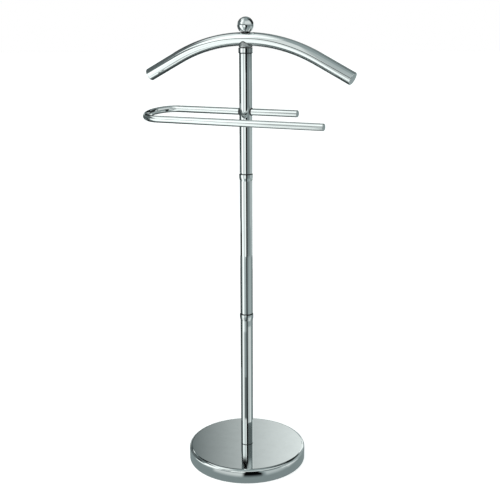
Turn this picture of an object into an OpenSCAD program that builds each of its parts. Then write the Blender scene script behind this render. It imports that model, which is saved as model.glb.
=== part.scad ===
// Chromed valet stand: a weighted round base, a three-piece post, a curved
// shoulder bar held by a ball finial, and a hairpin trouser bar that runs
// through the post in a clamping sleeve. Millimetres, +Z up, and the origin is
// on the floor under the post's axis. The shoulder bar runs along X.

/* [Base] */
// Diameter of the base cover
base_d = 245.5; // [230:0.5:270]
// Height of the base's top face above the floor
base_h = 30; // [28:0.5:34]
// Rounding of the cover's top rim
rim_r = 6.5; // [4:0.5:8]
// Thickness of the cover's pressed sheet
sheet_t = 1; // [0.8:0.1:1.4]
// Thickness of the cast weight
weight_t = 15; // [12:0.5:16]

/* [Post] */
// Outer diameter of the post tubes
post_d = 25.4; // [25:0.1:26]
// Wall of the post and shoulder bar tubes
wall = 1.2; // [1:0.1:1.5]
// Height of the lower joint above the floor
joint_1_z = 314.5; // [290:0.5:340]
// Height of the upper joint above the floor
joint_2_z = 605; // [560:0.5:640]
// Outer diameter of the joint collars
collar_d = 27.8; // [27:0.1:29]
// Height of a joint collar
collar_h = 14; // [12:0.5:15]
// Outer diameter of the collar at the post's top
top_collar_d = 27.8; // [27:0.1:29]

/* [Shoulder bar] */
// Height of the bar's centreline at its middle
bar_z = 871; // [850:0.2:900]
// Radius of the bar's centreline
bar_arc_r = 330; // [300:5:360]
// Half of the angle that the bar is bent through
bar_half_angle = 26.9; // [22:0.1:30]
// Straight length at each end of the bar, with its cap
bar_straight = 77.5; // [60:0.5:95]

/* [Trouser bar] */
// Height of the trouser bar's back leg
trouser_z = 733.7; // [700:0.1:740]
// Outer diameter of the trouser bar
trouser_d = 13.3; // [12.4:0.1:13.8]
// Distance between the two legs
leg_gap = 87; // [80:1:92]
// Reach of the hairpin's straight legs to the left of the post
trouser_left = 150.5; // [140:0.5:165]
// Reach of the back leg to the right of the post
back_leg_right = 110; // [105:1:125]
// Reach of the front leg to the right of the post
front_leg_right = 198; // [180:1:215]
// Angle that the front leg hangs below level
trouser_tilt = 8.7; // [0:0.1:15]

/* [Finial] */
// Diameter of the ball
ball_d = 31.9; // [31:0.1:36]
// Height of the ball's centre above the bar's top
ball_lift = 12.5; // [11.5:0.1:14]

/* [Hidden] */
$fn = 96;

chrome = [0.80, 0.82, 0.82];
zinc = [0.62, 0.63, 0.62];
iron = [0.22, 0.22, 0.23];
black = [0.06, 0.06, 0.06];

fine = 360;                 // segments of the long-radius curves
eps = 0.5;                  // overrun of a cut past the face it opens
slip = 0.05;                // radial clearance of a fitted or threaded pair
hole_slack = 0.3;           // radial clearance of a screw, bolt or stud in a plain hole
seam = 0.2;                 // gap between faces that only meet
touch_gap = 0.1;            // gap between pieces that press on each other
break_edge = 0.4;           // small rounding of a sheet or tube edge
post_r = post_d / 2;
bore_r = post_r - wall;     // inside of the post and shoulder bar tubes
insert_r = bore_r - slip;   // inserts pressed into a tube
base_r = base_d / 2;
underside_count = 4;        // how many screws the underplate has, and how many feet
screw_phase = 0;            // the first screw points along X,
foot_phase = 45;            // and the first foot between two screws

// Base
cover_drop = 1.2;           // height of the cover's edge above the floor
weight_top = base_h - sheet_t;
weight_z = weight_top - weight_t;
weight_r = base_r - 11;
weight_round_top = 3;
weight_round_bottom = 1.5;
tapped_depth = 8;           // depth of the screw holes in the weight
plate_z = cover_drop + 0.5;
plate_t = 2.5;
plate_r = base_r - sheet_t - hole_slack;
access_r = 20;              // hole in the underplate that the bolt is reached through
access_lip = 2;             // width and height of the lip round that hole
boss_r = 6;
screw_ring_r = 80;          // the underplate's screws lie on this radius
screw_head_r = 3.5;
screw_head_h = 2.2;
screw_r = 1.5;
screw_bite = 7;             // length of a screw inside the weight
screw_slot_l = 4;
screw_slot_w = 0.7;
screw_slot_depth = 1.2;
foot_ring_r = 98;           // the feet lie on this radius
foot_r = 10;
foot_recess = 1;            // depth of a foot's seat in the underplate
foot_h = plate_z + foot_recess;

bolt_r = 5;
bolt_head_flat = 17;
bolt_head_h = 6.4;
bolt_reach = 22;            // length of the bolt inside the foot insert
washer_r = 16;
washer_t = 2.5;
lock_washer_r = 8.9;
lock_washer_gap = 1.2;      // cut in the lock washer's ring
counterbore_r = washer_r + 1.5;
counterbore_h = 4.2;
washer_top = weight_z + counterbore_h;
lock_washer_top = washer_top - washer_t;
head_top = lock_washer_top - washer_t;

// Post
foot_insert_h = 30;
joint_insert_h = 24;
top_insert_h = 26;
joint_stud_half = 19;       // half of a joint stud's length
neck_r = post_r - 0.75;     // recessed ring on a tube just above its collar
neck_h = 2.4;
collar_r = collar_d / 2;
collar_round = 1.1;
belly_r = 36;               // curve of the collar's side, which falls away to the tube
belly_z = 9.5;              // height of its widest place
top_collar_h = 10;
top_collar_z = bar_z - 26.4;
top_collar_round = 0.8;
top_z = top_collar_z + top_collar_h;    // top of the post

// Saddle and shoulder bar
saddle_z = top_z + 2 * seam;
saddle_base_r = 13.1;
saddle_top_r = 12.2;
saddle_band_h = 3;          // height of the saddle's straight foot
saddle_chamfer = 0.5;
saddle_top_z = bar_z - 4.2;
bar_centre_z = bar_z - bar_arc_r;
bend_lap = 2;               // the straight ends start this far inside the bend
bend_step = 0.02;           // and are this much slimmer
cap_t = 1.5;
cap_round = 1;
cap_plug_h = 9;

// Trouser bar and its clamp
trouser_r = trouser_d / 2;
trouser_bore_r = trouser_r - wall;
trouser_cap_round = 1.2;
trouser_plug_h = 7;
sleeve_in_r = trouser_r + slip;
sleeve_r = sleeve_in_r + 0.95;
sleeve_half = post_r + 0.7; // half of the sleeve's length
sleeve_slit = 1.2;
cross_r = sleeve_r + slip;  // hole through the post for the sleeve
block_half = 17;            // half of the block's height
set_screw_r = 2.5;
set_screw_y = post_r - 0.2; // the set screw's outer end
set_screw_l = set_screw_y - sleeve_r - touch_gap;
set_screw_key = 2.5;        // size of its hexagon socket across flats
set_screw_socket = 2;

// Finial
stud_r = 4;
stud_anchor = 18;           // length of the stud inside the top insert
stud_engage = 13;           // length of the stud inside the ball
ball_r = ball_d / 2;
bar_top = bar_z + post_r;
ball_z = bar_top + ball_lift;
seat_washer_r = 9.5;
seat_washer_t = 1.2;
washer_z = bar_top + touch_gap;
ball_flat_z = washer_z + seat_washer_t + slip;
stud_top = ball_flat_z + stud_engage;
stud_bottom = top_z - stud_anchor;

// A ring around Z between two radii, with its outer edges rounded
module ring(outer, inner, z0, z1, round_top = 0, round_bottom = 0) {
    translate([0, 0, z0])
        rotate_extrude()
            ring_profile(outer, inner, z1 - z0, round_top, round_bottom);
}

module ring_profile(outer, inner, h, round_top, round_bottom) {
    straight = h - round_top - round_bottom;
    translate([inner, round_bottom]) square([outer - inner, straight]);
    if (round_top > 0) {
        translate([inner, h - round_top]) square([outer - round_top - inner, round_top]);
        edge_round(outer - round_top, h - round_top, round_top, 0);
    }
    if (round_bottom > 0) {
        translate([inner, 0]) square([outer - round_bottom - inner, round_bottom]);
        edge_round(outer - round_bottom, round_bottom, round_bottom, -1);
    }
}

// A quarter of a circle around [x, y], outside and above (side 0) or outside and below (side -1)
module edge_round(x, y, r, side) {
    intersection() {
        translate([x, y]) circle(r);
        translate([x, y + side * r]) square([r, r]);
    }
}

module chamfered_rod(r, z0, z1, chamfer = 0.8) {
    rotate_extrude()
        polygon([[0, z0], [r - chamfer, z0], [r, z0 + chamfer],
                 [r, z1 - chamfer], [r - chamfer, z1], [0, z1]]);
}

// A threaded insert that fills a tube from z0 to z1
module insert(z0, z1, hole_r) {
    difference() {
        chamfered_rod(insert_r, z0, z1, 0.6);
        translate([0, 0, z0 - eps]) cylinder(r = hole_r, h = z1 - z0 + 2 * eps);
    }
}

module around(radius, phase) {
    for (i = [0 : underside_count - 1])
        rotate([0, 0, phase + i * 360 / underside_count]) translate([radius, 0, 0]) children();
}

// ---- base ----

module base_cover() {
    h = base_h - cover_drop;
    color(chrome)
        translate([0, 0, cover_drop])
            rotate_extrude()
                difference() {
                    ring_profile(base_r, bolt_r + hole_slack, h, rim_r, break_edge);
                    translate([0, -eps])
                        ring_profile(base_r - sheet_t, 0, h - sheet_t + eps, rim_r - sheet_t, 0);
                }
}

module base_weight() {
    hole_r = bolt_r + hole_slack;
    color(iron)
        difference() {
            ring(weight_r, hole_r, weight_z, weight_top, weight_round_top, weight_round_bottom);
            translate([0, 0, weight_z - eps]) cylinder(r = counterbore_r, h = counterbore_h + eps);
            around(screw_ring_r, screw_phase)
                translate([0, 0, weight_z - eps]) cylinder(r = screw_r + slip, h = tapped_depth + eps);
        }
}

module base_underplate() {
    plate_top = plate_z + plate_t;
    color(black)
        difference() {
            union() {
                ring(plate_r, access_r, plate_z, plate_top, break_edge, break_edge);
                ring(access_r + access_lip, access_r, plate_top - eps, plate_top + access_lip);
                around(screw_ring_r, screw_phase)
                    translate([0, 0, plate_z + 1]) cylinder(r = boss_r, h = weight_z - plate_z - 1);
            }
            around(screw_ring_r, screw_phase) {
                translate([0, 0, plate_z - eps])
                    cylinder(r = screw_head_r + hole_slack, h = screw_head_h + hole_slack + eps);
                translate([0, 0, plate_z]) cylinder(r = screw_r + hole_slack, h = weight_z);
            }
            around(foot_ring_r, foot_phase)
                translate([0, 0, plate_z - eps]) cylinder(r = foot_r + hole_slack, h = foot_recess + eps);
        }
}

module underplate_screws() {
    head_z = plate_z + hole_slack;
    neck_z = head_z + screw_head_h;
    color(zinc)
        around(screw_ring_r, screw_phase)
            difference() {
                union() {
                    translate([0, 0, head_z]) cylinder(r = screw_head_r, h = screw_head_h);
                    translate([0, 0, neck_z - eps])
                        cylinder(r = screw_r, h = weight_z + screw_bite - neck_z + eps);
                }
                for (turn = [0, 90])
                    rotate([0, 0, turn])
                        translate([-screw_slot_l / 2, -screw_slot_w / 2, head_z - eps])
                            cube([screw_slot_l, screw_slot_w, screw_slot_depth + eps]);
            }
}

module base_feet() {
    chamfer = 0.8;
    color(black)
        around(foot_ring_r, foot_phase)
            rotate_extrude()
                polygon([[0, 0], [foot_r - chamfer, 0], [foot_r, chamfer], [foot_r, foot_h], [0, foot_h]]);
}

module base_bolt() {
    shank_z = head_top - 1;
    color(zinc) {
        translate([0, 0, head_top - bolt_head_h])
            cylinder(d = bolt_head_flat / cos(30), h = bolt_head_h, $fn = 6);
        chamfered_rod(bolt_r, shank_z, base_h + bolt_reach);
    }
}

module base_washer() {
    color(zinc) ring(washer_r, bolt_r + hole_slack, lock_washer_top, washer_top, break_edge, break_edge);
}

// The split ring of a lock washer, pressed flat
module base_lock_washer() {
    color(zinc)
        difference() {
            ring(lock_washer_r, bolt_r + hole_slack, head_top, lock_washer_top);
            rotate([0, 0, 30])
                translate([0, -lock_washer_gap / 2, head_top - eps])
                    cube([lock_washer_r + 1, lock_washer_gap, washer_t + 2 * eps]);
        }
}

// ---- post ----

module post_foot_insert() {
    color(zinc) insert(base_h, base_h + foot_insert_h, bolt_r + slip);
}

// A post tube with rounded ends; a tube that stands in a collar has a recessed neck above it
module post_tube(z0, z1, neck_z = 0) {
    difference() {
        ring(post_r, bore_r, z0, z1, break_edge, break_edge);
        if (neck_z > 0)
            ring(post_r + eps, neck_r, neck_z, neck_z + neck_h);
    }
}

module lower_post_tube() {
    color(chrome) post_tube(base_h, joint_1_z - seam / 2);
}

module middle_post_tube() {
    color(chrome) post_tube(joint_1_z + seam / 2, joint_2_z - seam / 2, joint_1_z + collar_h / 2);
}

module upper_post_tube() {
    color(chrome)
        difference() {
            post_tube(joint_2_z + seam / 2, top_z - seam, joint_2_z + collar_h / 2);
            cross_bore();
            set_screw_bore();
        }
}

module joint_socket(z) {
    color(zinc) insert(z - seam / 2 - joint_insert_h, z - seam / 2, bolt_r + slip);
}

module joint_plug(z) {
    color(zinc) insert(z + seam / 2, z + seam / 2 + joint_insert_h, bolt_r + slip);
}

module joint_stud(z) {
    color(zinc) chamfered_rod(bolt_r, z - joint_stud_half, z + joint_stud_half);
}

// A turned ring over the joint: a rounded lip above a belly that falls away to the tube
module joint_collar(z) {
    color(chrome)
        translate([0, 0, z - collar_h / 2])
            rotate_extrude()
                intersection() {
                    ring_profile(collar_r, post_r + slip, collar_h, collar_round, 0);
                    translate([collar_r - belly_r, belly_z]) circle(belly_r, $fn = fine);
                }
}

module top_insert() {
    color(zinc) insert(top_z - seam - top_insert_h, top_z - seam, stud_r + slip);
}

module top_collar() {
    color(chrome)
        ring(top_collar_d / 2, post_r + slip, top_collar_z, top_z, top_collar_round, top_collar_round);
}

// ---- trouser bar and its clamp ----

module cross_bore() {
    translate([0, 0, trouser_z]) rotate([0, 90, 0])
        cylinder(r = cross_r, h = 2 * post_d, center = true);
}

module set_screw_bore() {
    translate([0, 0, trouser_z]) rotate([-90, 0, 0])
        cylinder(r = set_screw_r + slip, h = post_r + eps);
}

// Solid block inside the tube that carries the sleeve and the set screw
module bar_block() {
    color(zinc)
        difference() {
            chamfered_rod(insert_r, trouser_z - block_half, trouser_z + block_half, 0.6);
            cross_bore();
            set_screw_bore();
        }
}

// Headless screw behind the post that presses on the sleeve
module set_screw() {
    color(zinc)
        translate([0, set_screw_y, trouser_z]) rotate([90, 0, 0])
            difference() {
                chamfered_rod(set_screw_r, 0, set_screw_l, 0.5);
                translate([0, 0, -eps])
                    cylinder(d = set_screw_key / cos(30), h = set_screw_socket + eps, $fn = 6);
            }
}

// Split nylon sleeve that grips the back leg, with its slit underneath
module bar_sleeve() {
    color(black)
        trouser_frame()
            rotate([0, 90, 0])
                difference() {
                    cylinder(r = sleeve_r, h = 2 * sleeve_half, center = true);
                    cylinder(r = sleeve_in_r, h = 2 * sleeve_half + 2 * eps, center = true);
                    translate([0, -sleeve_slit / 2, -sleeve_half - eps])
                        cube([sleeve_r + 1, sleeve_slit, 2 * sleeve_half + 2 * eps]);
                }
}

// The hairpin's own frame: the back leg lies on the X axis and the front leg at y = -leg_gap
module trouser_frame() {
    translate([0, 0, trouser_z]) rotate([trouser_tilt, 0, 0]) children();
}

module leg(r, x0, x1, y) {
    translate([x0, y, 0]) rotate([0, 90, 0]) cylinder(r = r, h = x1 - x0);
}

module hairpin(r, overrun) {
    leg(r, -trouser_left, back_leg_right - cap_t + overrun, 0);
    leg(r, -trouser_left, front_leg_right - cap_t + overrun, -leg_gap);
    translate([-trouser_left, -leg_gap / 2, 0])
        rotate([0, 0, 90])
            rotate_extrude(angle = 180) translate([leg_gap / 2, 0]) circle(r);
}

module trouser_bar() {
    color(chrome)
        trouser_frame()
            difference() {
                hairpin(trouser_r, 0);
                hairpin(trouser_bore_r, eps);
            }
}

// Push-in end cap: a rounded head whose outer face is at z = 0, and a plug towards -Z
module end_cap(r, plug_r, plug_h, round_r) {
    ring(r, 0, -cap_t, 0, round_r);
    chamfered_rod(plug_r, -cap_t - plug_h, -cap_t + eps);
}

module trouser_cap(x, y) {
    color(chrome)
        trouser_frame()
            translate([x, y, 0]) rotate([0, 90, 0])
                end_cap(trouser_r, trouser_bore_r - slip, trouser_plug_h, trouser_cap_round);
}

module trouser_back_cap() {
    trouser_cap(back_leg_right, 0);
}

module trouser_front_cap() {
    trouser_cap(front_leg_right, -leg_gap);
}

// ---- shoulder bar ----

// A child built along +Z from the end of the bar's bend; side is 1 for +X and -1 for -X
module at_bend_end(side) {
    translate([side * bar_arc_r * sin(bar_half_angle), 0, bar_centre_z + bar_arc_r * cos(bar_half_angle)])
        rotate([0, side * (90 + bar_half_angle), 0])
            children();
}

module bar_bend(r) {
    translate([0, 0, bar_centre_z]) rotate([90, 0, 0])
        rotate_extrude(angle = 2 * bar_half_angle, start = 90 - bar_half_angle, $fn = fine)
            translate([bar_arc_r, 0]) rotate(45) circle(r, $fn = 96);
}

// The bend and its two straight ends, which lap inside the bend by a hair's step
module bar_body(r, overrun) {
    bar_bend(r);
    for (side = [-1, 1])
        at_bend_end(side)
            translate([0, 0, -bend_lap])
                cylinder(r = r - bend_step, h = bend_lap + bar_straight - cap_t + overrun);
}

module hanger_bar() {
    color(chrome)
        difference() {
            bar_body(post_r, 0);
            bar_body(bore_r, eps);
            translate([0, 0, bar_z - post_d]) cylinder(r = stud_r + hole_slack, h = 2 * post_d);
        }
}

module hanger_cap(side) {
    color(chrome)
        at_bend_end(side)
            translate([0, 0, bar_straight]) end_cap(post_r, insert_r, cap_plug_h, cap_round);
}

module hanger_left_cap() {
    hanger_cap(-1);
}

module hanger_right_cap() {
    hanger_cap(1);
}

// Coped seat between the post and the bar
module hanger_saddle() {
    hole_r = stud_r + hole_slack;
    color(chrome)
        difference() {
            rotate_extrude()
                polygon([[hole_r, saddle_z], [saddle_base_r - saddle_chamfer, saddle_z],
                         [saddle_base_r, saddle_z + saddle_chamfer],
                         [saddle_base_r, saddle_z + saddle_band_h],
                         [saddle_top_r, saddle_top_z], [hole_r, saddle_top_z]]);
            bar_bend(post_r + slip);
        }
}

// ---- finial ----

module finial_washer() {
    color(black) ring(seat_washer_r, stud_r + slip, washer_z, washer_z + seat_washer_t);
}

module finial_ball() {
    color(chrome)
        difference() {
            translate([0, 0, ball_z]) sphere(ball_r);
            translate([0, 0, ball_flat_z - ball_r]) cylinder(r = ball_r, h = ball_r);
            translate([0, 0, ball_flat_z - eps]) cylinder(r = stud_r + slip, h = stud_engage + 2 * eps);
        }
}

module finial_stud() {
    color(zinc) chamfered_rod(stud_r, stud_bottom, stud_top);
}

base_cover();
base_weight();
base_underplate();
underplate_screws();
base_feet();
base_bolt();
base_washer();
base_lock_washer();
post_foot_insert();
lower_post_tube();
joint_socket(joint_1_z);  // lower_joint_socket
joint_stud(joint_1_z);  // lower_joint_stud
joint_plug(joint_1_z);  // lower_joint_plug
joint_collar(joint_1_z);  // lower_joint_collar
middle_post_tube();
joint_socket(joint_2_z);  // upper_joint_socket
joint_stud(joint_2_z);  // upper_joint_stud
joint_plug(joint_2_z);  // upper_joint_plug
joint_collar(joint_2_z);  // upper_joint_collar
upper_post_tube();
top_insert();
top_collar();
bar_block();
set_screw();
bar_sleeve();
trouser_bar();
trouser_back_cap();
trouser_front_cap();
hanger_bar();
hanger_left_cap();
hanger_right_cap();
hanger_saddle();
finial_washer();
finial_ball();
finial_stud();
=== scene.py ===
"""Looks of the chromed valet stand: materials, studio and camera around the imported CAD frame."""

import math

import bpy
from mathutils import Matrix, Vector

# ---- camera ----

CAMERA_AZIMUTH = 26.95  # degrees from the stand's front, towards +X
CAMERA_DISTANCE = 1.666  # metres from the post's axis, along the floor
CAMERA_HEIGHT = 0.881
CAMERA_TILT = 14.31  # degrees below level
CAMERA_YAW = -0.25
CAMERA_ROLL = -0.16
CAMERA_LENS = 61.13
SENSOR_WIDTH = 36

# ---- the stand's own sizes that its surfaces follow, in metres ----

BAR_ARC_RADIUS = 0.330
BAR_ARC_CENTRE_Z = 0.871 - BAR_ARC_RADIUS
BAR_RADIUS = 0.0127
RAIL_Z = 0.7337
RAIL_TILT = 8.7  # degrees that the front leg hangs below the back leg
RAIL_BEND_X = -0.1505
RAIL_HALF_GAP = 0.0435
STUD_PITCH = 0.00125
# Painted shade: a thin dark line is painted into the plating at these heights, where the post's
# pieces meet, and along the shoulder bar's surface where the saddle meets it.
SEAM_HEIGHTS = (0.0300, 0.3215, 0.6120, 0.8446, 0.8548)  # where the post's pieces meet
SEAM_SHADE_CORE = 0.0008  # half the height of a seam's painted shade line
SEAM_SHADE_REACH = 0.0016  # and how far it fades

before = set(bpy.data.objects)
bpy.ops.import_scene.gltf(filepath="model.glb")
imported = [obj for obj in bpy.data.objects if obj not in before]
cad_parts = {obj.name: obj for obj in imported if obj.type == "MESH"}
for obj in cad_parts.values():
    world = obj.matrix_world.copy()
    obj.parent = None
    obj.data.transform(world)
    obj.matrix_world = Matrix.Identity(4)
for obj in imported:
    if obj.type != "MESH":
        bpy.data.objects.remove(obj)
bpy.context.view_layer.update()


def linear(level):
    """Scene value of a display brightness from 0 to 255."""
    value = level / 255
    return value / 12.92 if value <= 0.04045 else ((value + 0.055) / 1.055) ** 2.4


class Graph:
    """Adds nodes to a node tree and links them."""

    def __init__(self, tree):
        self.tree = tree

    def node(self, kind, inputs=None, **settings):
        made = self.tree.nodes.new(kind)
        for name, value in settings.items():
            setattr(made, name, value)
        for name, value in (inputs or {}).items():
            self.set(made.inputs[name], value)
        return made

    def set(self, socket, value):
        if isinstance(value, bpy.types.NodeSocket):
            self.tree.links.new(value, socket)
        else:
            socket.default_value = value

    def math(self, operation, *values):
        made = self.node("ShaderNodeMath", operation=operation)
        for socket, value in zip(made.inputs, values):
            self.set(socket, value)
        return made.outputs[0]

    def remap(self, value, low, high, to_low=0.0, to_high=1.0, smooth=False):
        made = self.node(
            "ShaderNodeMapRange",
            {
                "Value": value,
                "From Min": low,
                "From Max": high,
                "To Min": to_low,
                "To Max": to_high,
            },
            interpolation_type="SMOOTHSTEP" if smooth else "LINEAR",
        )
        return made.outputs["Result"]

    def mix(self, share, first, second):
        made = self.node("ShaderNodeMix", data_type="RGBA")
        self.set(made.inputs[0], share)
        self.set(made.inputs[6], first)
        self.set(made.inputs[7], second)
        return made.outputs[2]

    def combine(self, x, y, z):
        return self.node("ShaderNodeCombineXYZ", {"X": x, "Y": y, "Z": z}).outputs[0]

    def noise(self, vector, scale, detail=2.0, roughness=0.5):
        made = self.node(
            "ShaderNodeTexNoise",
            {"Vector": vector, "Scale": scale, "Detail": detail, "Roughness": roughness},
        )
        return made.outputs["Fac"]

    def bump(self, height, strength, distance, normal=None):
        made = self.node(
            "ShaderNodeBump",
            {"Strength": strength, "Distance": distance, "Height": height},
        )
        if normal is not None:
            self.set(made.inputs["Normal"], normal)
        return made.outputs["Normal"]


# ---- materials ----

# The noise of the polishing lines runs this much slower along a line than across it.
DRAWN_STRETCH = 0.03
LATHE_STRETCH = 0.05
ARC_STRETCH = 0.01  # in metres a radian

# The plating's noises, in waves a metre.
SMUDGE_SCALE = 38
HAZE_SCALE = 150
STREAK_SCALE = 2600
WAVE_SCALE = 22
# How bright it is: clean, smudged, along a polishing line, and with the painted shade in a seam.
CLEAN_GREY = 0.80
SMUDGED_GREY = 0.765
LINE_GREY = 0.71
SEAM_SHADE_GREY = 0.15
# What smudges, haze and polishing lines add to its roughness.
SMUDGE_ROUGHNESS = 0.035
HAZE_ROUGHNESS = 0.025
LINE_ROUGHNESS = 0.02
STREAK_DEPTH = 0.0002
WAVE_DEPTH = 0.001

ZINC_BLUE = (0.46, 0.49, 0.52, 1)
ZINC_YELLOW = (0.62, 0.60, 0.52, 1)
ZINC_DULL = (0.36, 0.39, 0.43, 1)
ZINC_CLOUD_SCALE = 90
ZINC_TINT_SCALE = 240
ZINC_GRAIN_SCALE = 4200
ZINC_GRAIN_DEPTH = 0.0001
# Painted shade in the roots of a thread.
THREAD_ROOT_SHADE = (0.12, 0.12, 0.12, 1)
THREAD_DEPTH = 0.0006

IRON_PAINT = (0.035, 0.035, 0.037, 1)
IRON_WORN = (0.085, 0.075, 0.068, 1)
IRON_SKIN_SCALE = 700
IRON_PATCH_SCALE = 35
IRON_PIT_SCALE = 260
IRON_DEPTH = 0.0005

PLASTIC_DARK = (0.012, 0.012, 0.013, 1)
PLASTIC_LIGHT = (0.022, 0.022, 0.023, 1)
RUBBER_DARK = (0.010, 0.010, 0.010, 1)
RUBBER_LIGHT = (0.020, 0.020, 0.019, 1)
NYLON_DARK = (0.010, 0.010, 0.011, 1)
NYLON_LIGHT = (0.018, 0.018, 0.019, 1)
DUST = (0.11, 0.11, 0.105, 1)
DUST_SCALE = 420
MOTTLE_SCALE = 60


def start_material(name):
    """A new material, its graph and shader, and the place on the piece, whole and as x, y, z."""
    material = bpy.data.materials.new(name)
    material.use_nodes = True
    tree = material.node_tree
    graph = Graph(tree)
    shader = tree.nodes["Principled BSDF"]
    place = graph.node("ShaderNodeTexCoord").outputs["Object"]
    split = graph.node("ShaderNodeSeparateXYZ", {"Vector": place})
    return material, graph, shader, place, tuple(split.outputs)


def radius_of(graph, x, y):
    """Distance of x, y from zero."""
    squares = graph.math("ADD", graph.math("MULTIPLY", x, x), graph.math("MULTIPLY", y, y))
    return graph.math("SQRT", squares)


def lines_tube(graph, x, y, z):
    """Draw lines along an upright tube."""
    return graph.combine(x, y, graph.math("MULTIPLY", z, DRAWN_STRETCH))


def lines_turned(graph, x, y, z):
    """Lathe lines around an upright axis."""
    slow_x = graph.math("MULTIPLY", x, LATHE_STRETCH)
    slow_y = graph.math("MULTIPLY", y, LATHE_STRETCH)
    return graph.combine(slow_x, slow_y, z)


def lines_spun(graph, x, y, z):
    """Rings round the middle of the base, as spinning and polishing leave them."""
    along = graph.math("MULTIPLY", graph.math("ARCTAN2", y, x), ARC_STRETCH)
    return graph.combine(radius_of(graph, x, y), along, z)


def lines_bar(graph, x, y, z):
    """Lines along the shoulder bar's arc."""
    up = graph.math("SUBTRACT", z, BAR_ARC_CENTRE_Z)
    along = graph.math("MULTIPLY", graph.math("ARCTAN2", x, up), ARC_STRETCH)
    return graph.combine(along, y, radius_of(graph, x, up))


def lines_rail(graph, x, y, z):
    """Lines along the hairpin, around its bend too."""
    cos = math.cos(math.radians(RAIL_TILT))
    sin = math.sin(math.radians(RAIL_TILT))
    up = graph.math("SUBTRACT", z, RAIL_Z)
    level = graph.math("ADD", graph.math("MULTIPLY", y, cos), graph.math("MULTIPLY", up, sin))
    across = graph.math("SUBTRACT", graph.math("MULTIPLY", up, cos), graph.math("MULTIPLY", y, sin))
    out = graph.math("MINIMUM", graph.math("SUBTRACT", x, RAIL_BEND_X), 0.0)
    spread = radius_of(graph, out, graph.math("ADD", level, RAIL_HALF_GAP))
    return graph.combine(graph.math("MULTIPLY", x, DRAWN_STRETCH), spread, across)


def grey(value):
    """The plating's cool grey."""
    return (value, value * 1.03, value * 1.025, 1)


def seam_shade_share(graph, x, y, z):
    """How far a point lies in the painted shade line where pieces meet, from 0 to 1."""
    up = graph.math("MAXIMUM", graph.math("SUBTRACT", z, BAR_ARC_CENTRE_Z), 0.0)
    off_arc = graph.math("SUBTRACT", radius_of(graph, x, up), BAR_ARC_RADIUS)
    nearest = graph.math("SUBTRACT", radius_of(graph, y, off_arc), BAR_RADIUS)
    for height in SEAM_HEIGHTS:
        away = graph.math("ABSOLUTE", graph.math("SUBTRACT", z, height))
        nearest = graph.math("MINIMUM", nearest, away)
    return graph.remap(nearest, SEAM_SHADE_CORE, SEAM_SHADE_REACH, 1.0, 0.0, smooth=True)


def chrome(name, lines, waviness=0.0, gloss=0.016, brushed=1.0, shade=1.0, shade_seams=False):
    """Polished chrome plate: faint polishing lines, soft smudges and a slightly uneven gloss, with
    painted shade in the seams on the pieces that meet others.
    """
    material, graph, shader, place, (x, y, z) = start_material(name)
    smudge = graph.noise(place, SMUDGE_SCALE, 4, 0.6)
    haze = graph.remap(graph.noise(place, HAZE_SCALE, 3, 0.7), 0.52, 0.75, 0.0, HAZE_ROUGHNESS)
    streak = graph.noise(lines(graph, x, y, z), STREAK_SCALE, 2, 0.6)
    lined = LINE_ROUGHNESS * brushed
    rough = graph.remap(smudge, 0.35, 0.8, gloss, gloss + SMUDGE_ROUGHNESS)
    rough = graph.math("ADD", rough, haze)
    rough = graph.math("ADD", rough, graph.remap(streak, 0.3, 0.7, -lined / 2, lined))
    tone = graph.mix(
        graph.remap(smudge, 0.4, 0.75), grey(CLEAN_GREY * shade), grey(SMUDGED_GREY * shade)
    )
    line_share = graph.remap(streak, 0.5, 0.9, 0.0, 0.35 * brushed)
    tone = graph.mix(line_share, tone, grey(LINE_GREY * shade))
    # Painted shade: a dark line in the seams where pieces meet.
    if shade_seams:
        tone = graph.mix(seam_shade_share(graph, x, y, z), tone, grey(SEAM_SHADE_GREY))
    shader.inputs["Metallic"].default_value = 1
    graph.set(shader.inputs["Base Color"], tone)
    graph.set(shader.inputs["Roughness"], rough)
    normal = graph.bump(streak, 0.012 * brushed, STREAK_DEPTH)
    if waviness:
        normal = graph.bump(graph.noise(place, WAVE_SCALE, 1), waviness, WAVE_DEPTH, normal)
    graph.set(shader.inputs["Normal"], normal)
    return material


def thread_height(graph, x, y, z):
    """Ridges of a screw thread around Z, from 0 to 1."""
    turn = graph.math("DIVIDE", graph.math("ARCTAN2", y, x), 2 * math.pi)
    rise = graph.math("SUBTRACT", graph.math("DIVIDE", z, STUD_PITCH), turn)
    return graph.math("PINGPONG", rise, 0.5)


def zinc(name, threaded):
    """Zinc-plated steel with the faint blue and yellow cast of its passivation."""
    material, graph, shader, place, (x, y, z) = start_material(name)
    cloud = graph.noise(place, ZINC_CLOUD_SCALE, 4, 0.6)
    tint = graph.noise(place, ZINC_TINT_SCALE, 2)
    tone = graph.mix(graph.remap(cloud, 0.35, 0.7), ZINC_BLUE, ZINC_YELLOW)
    tone = graph.mix(graph.remap(tint, 0.5, 0.8, 0.0, 0.5), tone, ZINC_DULL)
    grain = graph.noise(place, ZINC_GRAIN_SCALE, 2)
    shader.inputs["Metallic"].default_value = 1
    normal = graph.bump(grain, 0.1, ZINC_GRAIN_DEPTH)
    rough = graph.remap(cloud, 0.3, 0.75, 0.24, 0.42)
    if threaded:
        ridge = thread_height(graph, x, y, z)
        # Painted shade: the thread's roots are darkened.
        tone = graph.mix(graph.remap(ridge, 0.0, 0.2, 0.7, 0.0), tone, THREAD_ROOT_SHADE)
        normal = graph.bump(ridge, 1.0, THREAD_DEPTH, normal)
    graph.set(shader.inputs["Base Color"], tone)
    graph.set(shader.inputs["Roughness"], rough)
    graph.set(shader.inputs["Normal"], normal)
    return material


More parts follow.
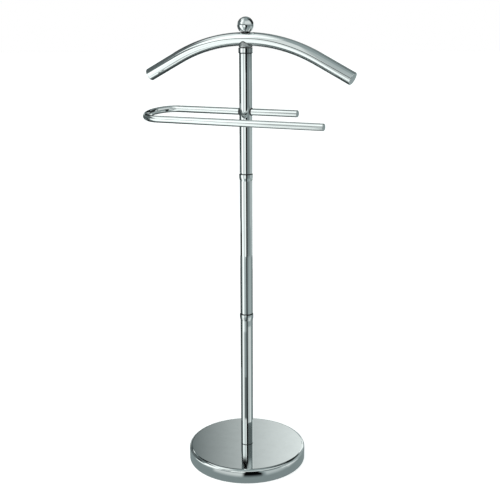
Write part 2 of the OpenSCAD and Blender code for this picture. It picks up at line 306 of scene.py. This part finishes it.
def cast_iron(name):
    """Dark grey-painted iron casting with a sandy skin and small pits."""
    material, graph, shader, place, _ = start_material(name)
    skin = graph.noise(place, IRON_SKIN_SCALE, 5, 0.65)
    patch = graph.noise(place, IRON_PATCH_SCALE, 4, 0.6)
    pits = graph.node("ShaderNodeTexVoronoi", {"Vector": place, "Scale": IRON_PIT_SCALE})
    pit = pits.outputs["Distance"]
    tone = graph.mix(graph.remap(patch, 0.35, 0.7), IRON_PAINT, IRON_WORN)
    shader.inputs["Metallic"].default_value = 0.4
    graph.set(shader.inputs["Base Color"], tone)
    graph.set(shader.inputs["Roughness"], graph.remap(skin, 0.3, 0.7, 0.55, 0.85))
    normal = graph.bump(skin, 0.5, IRON_DEPTH)
    normal = graph.bump(graph.remap(pit, 0.0, 0.25), 0.35, IRON_DEPTH, normal)
    graph.set(shader.inputs["Normal"], normal)
    return material


def polymer(name, dark, light, rough_low, rough_high, grain_scale, grain_depth):
    """Moulded black plastic or rubber: mottled tone, dust in the grain and an uneven sheen."""
    material, graph, shader, place, _ = start_material(name)
    mottle = graph.noise(place, MOTTLE_SCALE, 4, 0.6)
    grain = graph.noise(place, grain_scale, 3, 0.6)
    dust = graph.remap(graph.noise(place, DUST_SCALE, 4, 0.75), 0.58, 0.82, 0.0, 0.4)
    tone = graph.mix(graph.remap(mottle, 0.3, 0.75), dark, light)
    graph.set(shader.inputs["Base Color"], graph.mix(dust, tone, DUST))
    graph.set(shader.inputs["Roughness"], graph.remap(mottle, 0.3, 0.75, rough_low, rough_high))
    graph.set(shader.inputs["Normal"], graph.bump(grain, 0.4, grain_depth))
    return material


def dress(material, *nodes):
    """Give a material to every slot of the named nodes."""
    for name in nodes:
        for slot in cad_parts[name].material_slots:
            slot.material = material


def dress_stand():
    dress(chrome("chrome_base", lines_spun, waviness=0.02, brushed=0.3), "base_cover")
    dress(
        chrome("chrome_tube", lines_tube, shade_seams=True),
        "lower_post_tube", "middle_post_tube", "upper_post_tube",
    )
    dress(
        chrome("chrome_turned", lines_turned, shade_seams=True),
        "lower_joint_collar", "upper_joint_collar", "top_collar", "finial_ball",
    )
    dress(
        chrome("chrome_satin", lines_turned, gloss=0.3, brushed=2.0, shade=0.7, shade_seams=True),
        "hanger_saddle",
    )
    dress(chrome("chrome_bar", lines_bar), "hanger_bar", "hanger_left_cap", "hanger_right_cap")
    dress(chrome("chrome_rail", lines_rail), "trouser_bar", "trouser_back_cap", "trouser_front_cap")
    dress(
        zinc("zinc_plain", threaded=False),
        "base_washer", "base_lock_washer", "post_foot_insert", "lower_joint_socket",
        "lower_joint_plug", "upper_joint_socket", "upper_joint_plug", "top_insert", "bar_block",
        "set_screw", "underplate_screws",
    )
    dress(
        zinc("zinc_threaded", threaded=True),
        "base_bolt", "lower_joint_stud", "upper_joint_stud", "finial_stud",
    )
    dress(cast_iron("cast_iron"), "base_weight")
    dress(
        polymer(
            "moulded_plastic", PLASTIC_DARK, PLASTIC_LIGHT,
            rough_low=0.35, rough_high=0.55, grain_scale=900, grain_depth=0.0003,
        ),
        "base_underplate",
    )
    dress(
        polymer(
            "rubber", RUBBER_DARK, RUBBER_LIGHT,
            rough_low=0.65, rough_high=0.9, grain_scale=1800, grain_depth=0.0003,
        ),
        "base_feet", "finial_washer",
    )
    dress(
        polymer(
            "nylon", NYLON_DARK, NYLON_LIGHT,
            rough_low=0.28, rough_high=0.45, grain_scale=2400, grain_depth=0.0001,
        ),
        "bar_sleeve",
    )


# ---- studio ----

CHROME_LEVEL = 0.79  # how much of the light the plating returns
TENT_RADIUS = 1.7
TENT_TOP = 2.1
TENT_LIFT = 0.0004  # keeps its table just above the floor
ROOM = 140  # level of the tent and the sky where no part lies
# The plating reflects a round tent with a table top as its floor, which only reflections see. Its
# light and dark parts are (azimuth from, to, height or reach from, to, brightness), in degrees,
# metres and display levels as the chrome shows them. Azimuth 0 looks from the stand to the camera,
# 90 is the camera's right, and later parts cover earlier ones.
WALL = (
    (-70, 92, 0.98, 3, 178),  # spill of the soft box
    (-62, -34, 0.98, 3, 215),
    (-14, 80, 1.38, 3, 212),
    (-86, -54, -1, 3, 268),  # soft box on the left
    (-56, 14, -1, 0.97, 242),
    (-50, -30, -1, 1.1, 192),  # darker strip of it
    (26, 75, -1, 0.97, 126),  # folds on the right
    (60, 92, -1, 0.12, 152),
    (66, 92, 0.12, 0.75, 172),
    (75, 105, 0.75, 0.97, 150),
    (26, 105, 0.8, 0.97, 98),
    (94, 134, -1, 0.6, 172),
    (94, 134, 0.6, 1.12, 106),
    (116, 142, 0.35, 0.75, 140),
    (-142, -2, 0.962, 1.2, 0),  # dark rail across the box
    (-4, 22, -1, 0.95, 0),  # gap beside the box
    (-8, 24, 0.74, 1.0, 0),
    (92, 150, 1.12, 3, 35),  # dark flags
    (-142, -96, -1, 3, 62),
    (-142, -92, -1, 0.38, 52),
    (-142, -85, -1, 0.15, 30),
    (-142, -108, 0.42, 0.95, 82),
    (-142, -108, 0.1, 0.42, 118),
    (-142, -68, 1.0, 1.48, 105),
    (-142, -84, 1.4, 3, 95),
    (138, 400, -1, 1.12, 240),  # white backdrop
    (-400, -141, -1, 1.12, 240),
    (130, 150, -1, 0.15, 185),
    (158, 400, -1, 0.7, 170),
    (-400, -138, 0.42, 0.95, 70),
    (-400, -138, 0.15, 0.42, 98),
    (138, 400, 1.36, 3, 42),  # its dark head
    (-400, -138, 1.36, 3, 30),
)
TABLE = (
    (-82, -42, 0, 2, 255),
    (-60, -42, 0, 0.8, 205),
    (-42, 4, 0.2, 2, 165),  # shade towards the camera
    (-42, 4, 0.2, 0.8, 138),
    (-42, 4, 0.2, 0.45, 102),
    (-42, 4, 0, 0.2, 200),
    (22, 52, 0, 0.85, 180),
    (22, 52, 0.85, 2, 145),
    (52, 78, 0, 0.85, 218),
    (52, 78, 0.85, 2, 165),
    (78, 100, 0, 2, 156),
    (98, 146, 0, 0.85, 125),
    (98, 146, 0.85, 2, 128),
    (-5, 18, 0, 2, 4),
    (-108, -82, 0, 2, 115),
    (-146, -106, 0.5, 2, 50),
    (-146, -106, 0, 0.5, 105),
    (140, 400, 0, 1.5, 60),
    (-400, -144, 0, 1.5, 60),
    (-95, -42, 0, 0.164, 142),
    (-400, 400, -1, 0.152, 132),  # shadow around the base
)
# Above the tent the parts are (azimuth from, to, elevation from, to, brightness), all in degrees.
SKY = (
    (-400, 400, 62, 100, 150),  # ceiling
    (-140, -60, 43, 75, 225),  # its bright left side
    (-70, 75, 0, 66, 174),  # spill of the soft box
    (-14, 80, 0, 52, 212),
    (-62, -34, 0, 62, 215),
    (-86, -52, 0, 62, 262),
    (92, 150, 12, 70, 40),  # dark flags
    (-142, -82, 20, 42, 90),
    (-150, -118, 10, 42, 60),
    (138, 400, 38, 68, 132),
    (-400, -138, 38, 68, 120),
)
# How softly a part fades at its edges, in degrees and metres.
AZIMUTH_SOFTNESS = 5
WALL_SOFTNESS = 0.03
TABLE_SOFTNESS = 0.015
ELEVATION_SOFTNESS = 12
# Straight behind the stand the light grows from left to right, between these heights.
GLOW_LOW = 0.7
GLOW_HIGH = 1.36
GLOW_REACH = 24  # degrees to each side that the glow covers
GLOW_SPREAD = 9.0  # and that its change takes
GLOW_LEFT = 100
GLOW_RIGHT = 226
TINT_LIGHT = (0.94, 1.0, 0.99)
TINT_DARK = (0.83, 1.0, 1.01)  # the darker parts are cooler,
COOL_FROM = 205  # from this level down,
COOL_SPAN = 60  # and fully so this much lower

FLOOR_RADIUS = 40
FLOOR_WHITE = (0.9, 0.9, 0.9, 1)
FLOOR_ROUGHNESS = 0.9
FLOOR_LIGHT = 0.7  # its own light, which keeps it as pale as the backdrop
WHITE = (1, 1, 1, 1)
CIRCLE_STEPS = 180


def bright(level):
    """Colour of a part that the chrome shows at a display level."""
    value = linear(level) / CHROME_LEVEL
    cool = min(max((COOL_FROM - level) / COOL_SPAN, 0), 1)
    tint = (light + (dark - light) * cool for light, dark in zip(TINT_LIGHT, TINT_DARK))
    return tuple(value * share for share in tint) + (1,)


def between(graph, value, low, high, soft):
    """1 where a value lies between two limits and 0 elsewhere, fading over the softness."""
    rise = graph.remap(value, low - soft / 2, low + soft / 2, smooth=True)
    fall = graph.remap(value, high - soft / 2, high + soft / 2, 1.0, 0.0, smooth=True)
    return graph.math("MULTIPLY", rise, fall)


def paint(graph, azimuth, other, softness, parts):
    """Colour of a table of parts at an azimuth and a height, reach or elevation."""
    light = bright(ROOM)
    for az_from, az_to, low, high, level in parts:
        mask = between(graph, other, low, high, softness)
        sides = between(graph, azimuth, az_from, az_to, AZIMUTH_SOFTNESS)
        light = graph.mix(graph.math("MULTIPLY", mask, sides), light, bright(level))
    return light


def split_direction(graph, vector):
    """Azimuth in degrees from local -Y towards +X, and the vector's parts."""
    x, y, z = graph.node("ShaderNodeSeparateXYZ", {"Vector": vector}).outputs
    azimuth = graph.math("DEGREES", graph.math("ARCTAN2", x, graph.math("MULTIPLY", y, -1.0)))
    return azimuth, x, y, z


def make_world():
    """White to the camera, and the sky's parts to everything else."""
    world = bpy.data.worlds.new("studio")
    bpy.context.scene.world = world
    world.use_nodes = True
    tree = world.node_tree
    graph = Graph(tree)
    direction = graph.node("ShaderNodeTexCoord").outputs["Generated"]
    turned = graph.node(
        "ShaderNodeVectorRotate",
        {"Vector": direction, "Angle": -math.radians(CAMERA_AZIMUTH)},
        rotation_type="Z_AXIS",
    ).outputs[0]
    azimuth, _, _, z = split_direction(graph, turned)
    elevation = graph.math("DEGREES", graph.math("ARCSINE", z))
    light = paint(graph, azimuth, elevation, ELEVATION_SOFTNESS, SKY)
    seen = graph.node("ShaderNodeLightPath").outputs["Is Camera Ray"]
    graph.set(tree.nodes["Background"].inputs["Color"], graph.mix(seen, light, WHITE))


def glow_material(name, wall):
    """Light of the tent's wall, or of its table top."""
    material = bpy.data.materials.new(name)
    material.use_nodes = True
    tree = material.node_tree
    tree.nodes.clear()
    graph = Graph(tree)
    place = graph.node("ShaderNodeTexCoord").outputs["Object"]
    azimuth, x, y, z = split_direction(graph, place)
    if wall:
        light = paint(graph, azimuth, z, WALL_SOFTNESS, WALL)
        behind = graph.math("DEGREES", graph.math("ARCTAN2", x, y))
        share = graph.remap(behind, -GLOW_SPREAD, GLOW_SPREAD)
        glow = graph.mix(share, bright(GLOW_LEFT), bright(GLOW_RIGHT))
        mask = between(graph, z, GLOW_LOW, GLOW_HIGH, WALL_SOFTNESS)
        sides = between(graph, behind, -GLOW_REACH, GLOW_REACH, AZIMUTH_SOFTNESS)
        mask = graph.math("MULTIPLY", mask, sides)
        light = graph.mix(mask, light, glow)
    else:
        light = paint(graph, azimuth, radius_of(graph, x, y), TABLE_SOFTNESS, TABLE)
    emission = graph.node("ShaderNodeEmission", {"Color": light})
    output = graph.node("ShaderNodeOutputMaterial")
    tree.links.new(emission.outputs[0], output.inputs["Surface"])
    return material


def circle(radius, z):
    """Points of a level circle around the post's axis."""
    turns = [math.tau * step / CIRCLE_STEPS for step in range(CIRCLE_STEPS)]
    return [(radius * math.cos(turn), radius * math.sin(turn), z) for turn in turns]


def make_stage_piece(name, points, faces):
    """A mesh of the studio, linked into the scene."""
    mesh = bpy.data.meshes.new(name)
    mesh.from_pydata(points, [], faces)
    piece = bpy.data.objects.new(name, mesh)
    bpy.context.scene.collection.objects.link(piece)
    return piece


def make_tent():
    """The tent's table top and wall, which nothing but reflections sees."""
    low_ring = circle(TENT_RADIUS, 0.0)
    high_ring = circle(TENT_RADIUS, TENT_TOP)
    count = CIRCLE_STEPS
    table = [tuple(range(count))]
    wall = [(i, (i + 1) % count, count + (i + 1) % count, count + i) for i in range(count)]
    tent = make_stage_piece("tent", low_ring + high_ring, table + wall)
    tent.data.materials.append(glow_material("tent_table", wall=False))
    tent.data.materials.append(glow_material("tent_wall", wall=True))
    for face in tent.data.polygons[1:]:
        face.material_index = 1
    tent.location.z = TENT_LIFT
    tent.rotation_euler.z = math.radians(CAMERA_AZIMUTH)
    tent.visible_camera = False
    tent.visible_diffuse = False
    tent.visible_shadow = False


def make_floor():
    """White paper, which the chrome doesn't see: it sees the table top instead."""
    floor = make_stage_piece("floor", circle(FLOOR_RADIUS, 0.0), [tuple(range(CIRCLE_STEPS))])
    material = bpy.data.materials.new("floor_paper")
    material.use_nodes = True
    shader = material.node_tree.nodes["Principled BSDF"]
    shader.inputs["Base Color"].default_value = FLOOR_WHITE
    shader.inputs["Roughness"].default_value = FLOOR_ROUGHNESS
    shader.inputs["Emission Color"].default_value = WHITE
    shader.inputs["Emission Strength"].default_value = FLOOR_LIGHT
    floor.data.materials.append(material)
    floor.visible_glossy = False


def make_camera():
    """The photo's camera, which looks down on the stand from beside its front."""
    azimuth = math.radians(CAMERA_AZIMUTH)
    aim = azimuth + math.radians(CAMERA_YAW)
    tilt = math.radians(CAMERA_TILT)
    level = Vector((-math.sin(aim), math.cos(aim), 0))
    forward = level * math.cos(tilt) - Vector((0, 0, math.sin(tilt)))
    right = forward.cross(Vector((0, 0, 1))).normalized()
    right = Matrix.Rotation(-math.radians(CAMERA_ROLL), 3, forward) @ right
    up = right.cross(forward)
    data = bpy.data.cameras.new("camera")
    data.lens = CAMERA_LENS
    data.sensor_width = SENSOR_WIDTH
    camera = bpy.data.objects.new("camera", data)
    place = Matrix((right, up, -forward)).transposed().to_4x4()
    place.translation = (
        CAMERA_DISTANCE * math.sin(azimuth),
        -CAMERA_DISTANCE * math.cos(azimuth),
        CAMERA_HEIGHT,
    )
    camera.matrix_world = place
    bpy.context.scene.collection.objects.link(camera)
    bpy.context.scene.camera = camera


dress_stand()
make_world()
make_tent()
make_floor()
make_camera()
bpy.context.scene.view_settings.view_transform = "Standard"
